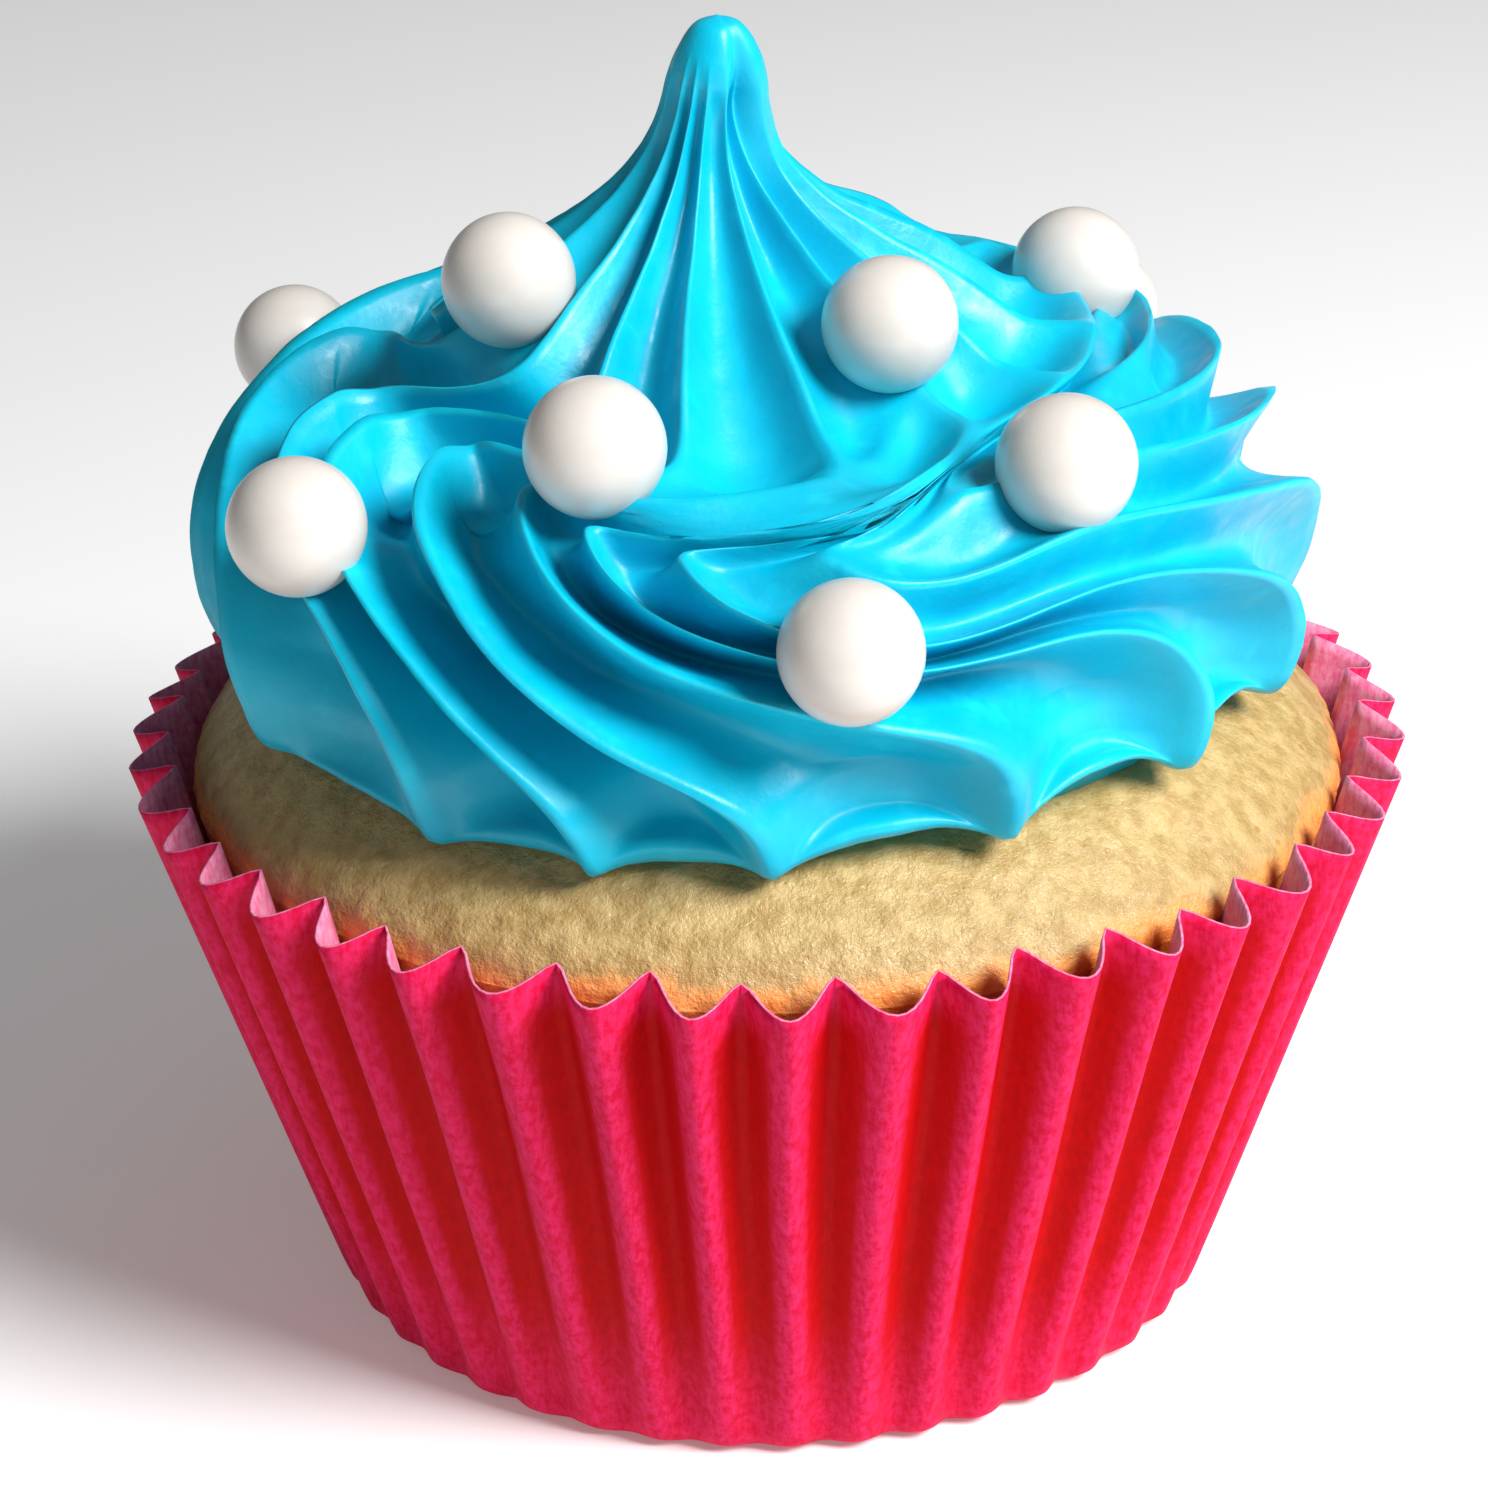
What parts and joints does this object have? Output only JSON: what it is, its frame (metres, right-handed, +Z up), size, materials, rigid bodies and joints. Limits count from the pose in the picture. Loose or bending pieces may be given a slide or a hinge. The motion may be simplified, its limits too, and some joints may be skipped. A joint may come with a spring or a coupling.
{
  "type": "frosted cupcake",
  "caption": "Domed sponge cupcake in a pleated paper case, with a piped frosting swirl drawn up to a peak and dotted with round sugar pearls.",
  "frame": {"origin": "centre of the case's flat base, on the surface the cupcake stands on", "axes": "+Z up from the base to the frosting's peak, -Y to the front, +X to the right"},
  "size_m": [0.0682, 0.0682, 0.0691],
  "materials": {
    "paper": "pink greaseproof paper, matt, pleated",
    "sponge": "pale yellow sponge crumb with a golden edge",
    "frosting": "smooth bright blue buttercream with a soft sheen",
    "pearl": "white sugar pearl with a satin sheen"
  },
  "bodies": {
    "root": {"case": "paper", "cake": "sponge", "frosting": "frosting", "pearl_01": "pearl", "pearl_02": "pearl", "pearl_03": "pearl", "pearl_04": "pearl", "pearl_05": "pearl", "pearl_06": "pearl", "pearl_07": "pearl", "pearl_08": "pearl", "pearl_09": "pearl", "pearl_10": "pearl", "pearl_11": "pearl", "pearl_12": "pearl"}
  },
  "joints": []
}
